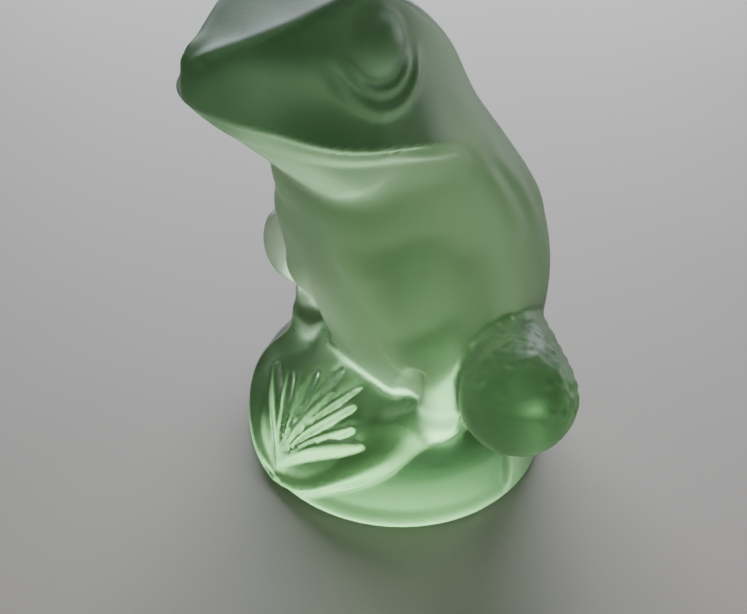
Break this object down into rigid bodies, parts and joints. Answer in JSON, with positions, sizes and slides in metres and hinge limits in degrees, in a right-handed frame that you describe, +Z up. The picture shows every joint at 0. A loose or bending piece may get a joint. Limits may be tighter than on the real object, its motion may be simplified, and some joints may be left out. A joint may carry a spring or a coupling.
{
  "type": "frog figurine",
  "caption": "Solid pressed-glass frog figurine, frosted green, seated upright on a round domed base with fanned leaf relief; a free-standing ornament.",
  "frame": {"origin": "centre of the round flat underside, on the surface that the figurine stands on", "axes": "+Z up, the frog faces -Y, and +X is the frog's left"},
  "size_m": [0.076, 0.0647, 0.09],
  "materials": {
    "green_glass": "satin frosted, translucent, with a light sheen"
  },
  "bodies": {
    "root": {"glass_frog": "green_glass"}
  },
  "joints": []
}
